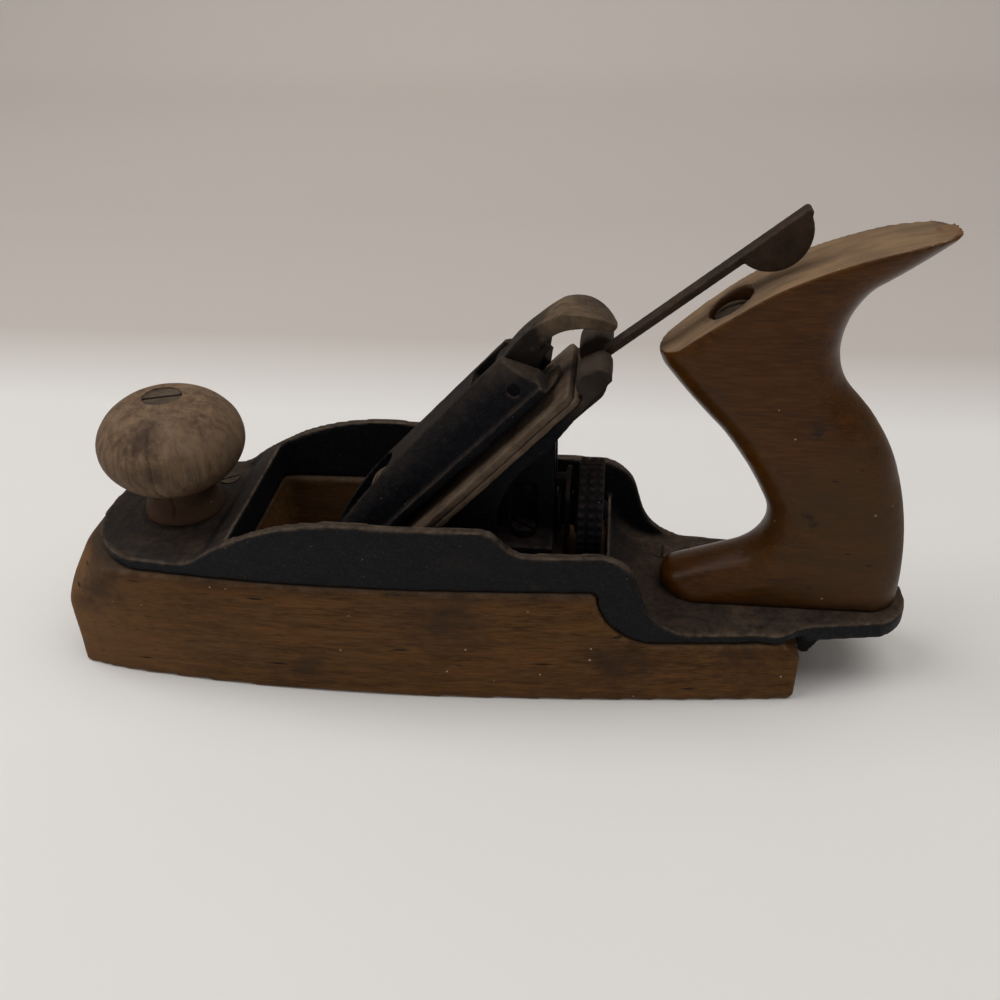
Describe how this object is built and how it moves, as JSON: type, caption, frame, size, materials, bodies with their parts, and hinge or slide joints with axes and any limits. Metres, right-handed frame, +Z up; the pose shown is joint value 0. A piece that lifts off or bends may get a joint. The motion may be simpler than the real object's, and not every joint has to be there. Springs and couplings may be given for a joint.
{
  "type": "hand plane",
  "caption": "Wood-bottomed smoothing plane with an iron top frame, round front knob, open rear handle and a screw-adjusted cutter.",
  "frame": {"origin": "centre of the sole, halfway along the wooden stock and on its middle plane", "axes": "+X from the toe towards the rear handle, +Y across the plane towards its right-hand side, +Z up off the sole"},
  "size_m": [0.2615, 0.0662, 0.1456],
  "materials": {
    "stock_beech": "oiled beech, worn and stained, open grain",
    "knob_beech": "dusty dark-stained beech, dull",
    "tote_beech": "dark varnished beech, worn, satin",
    "japanned_iron": "black japanned casting, dusty, worn on its edges",
    "worn_steel": "browned steel, dull",
    "cutter_steel": "rusty brown steel, dull",
    "bare_iron": "bare handled iron, bronze brown, satin",
    "dark_brass": "brass turned almost black",
    "nut_brass": "tarnished grey-green brass"
  },
  "bodies": {
    "plane": {"stock": "stock_beech", "top_frame": "japanned_iron", "frame_screws": "worn_steel", "knob": "knob_beech", "knob_screw": "worn_steel", "tote": "tote_beech", "tote_rod": "worn_steel", "tote_nut": "nut_brass", "frog": "japanned_iron", "frog_screws": "worn_steel", "lever_cap": "japanned_iron", "lever_cap_screw": "worn_steel", "lever_cap_spring": "worn_steel", "spring_rivet": "worn_steel", "cam_pin": "worn_steel", "depth_stud": "worn_steel", "yoke_pin": "worn_steel", "lateral_pivot": "worn_steel"},
    "cutter": {"plane_iron": "cutter_steel", "cap_iron": "cutter_steel", "cap_iron_screw": "cutter_steel"},
    "cam": {"cam_lever": "bare_iron"},
    "wheel": {"depth_wheel": "dark_brass"},
    "yoke_arm": {"yoke": "japanned_iron"},
    "lateral": {"lateral_lever": "bare_iron", "lateral_roller": "worn_steel"}
  },
  "joints": [
    {"name": "cam_lever_hinge", "type": "hinge", "parent": "plane", "child": "cam", "pos_m": [0.02791, 0, 0.09757], "axis": [0, -1, 0], "range_deg": [0, 72]},
    {"name": "lateral_lever_hinge", "type": "hinge", "parent": "plane", "child": "lateral", "pos_m": [0.04082, 0, 0.09136], "axis": [-0.7193, 0, 0.6947], "range_deg": [-3.2, 3.2]},
    {"name": "depth_wheel_turn", "type": "hinge", "parent": "plane", "child": "wheel", "pos_m": [0.05, 0, 0.0517], "axis": [1, 0, 0], "range_deg": [-180, 180]},
    {"name": "yoke_hinge", "type": "hinge", "parent": "plane", "child": "yoke_arm", "pos_m": [0.031, 0, 0.063], "axis": [0, -1, 0], "range_deg": [-3.6, 3.6]},
    {"name": "cutter_slide", "type": "slide", "parent": "plane", "child": "cutter", "axis": [-0.6947, 0, -0.7193], "range_m": [-0.0009, 0.0009]}
  ],
  "couplings": [
    {"joint": "depth_wheel_turn", "follows": "cutter_slide", "rad_per_m": 3490.6},
    {"joint": "yoke_hinge", "follows": "cutter_slide", "rad_per_m": 67.87}
  ]
}
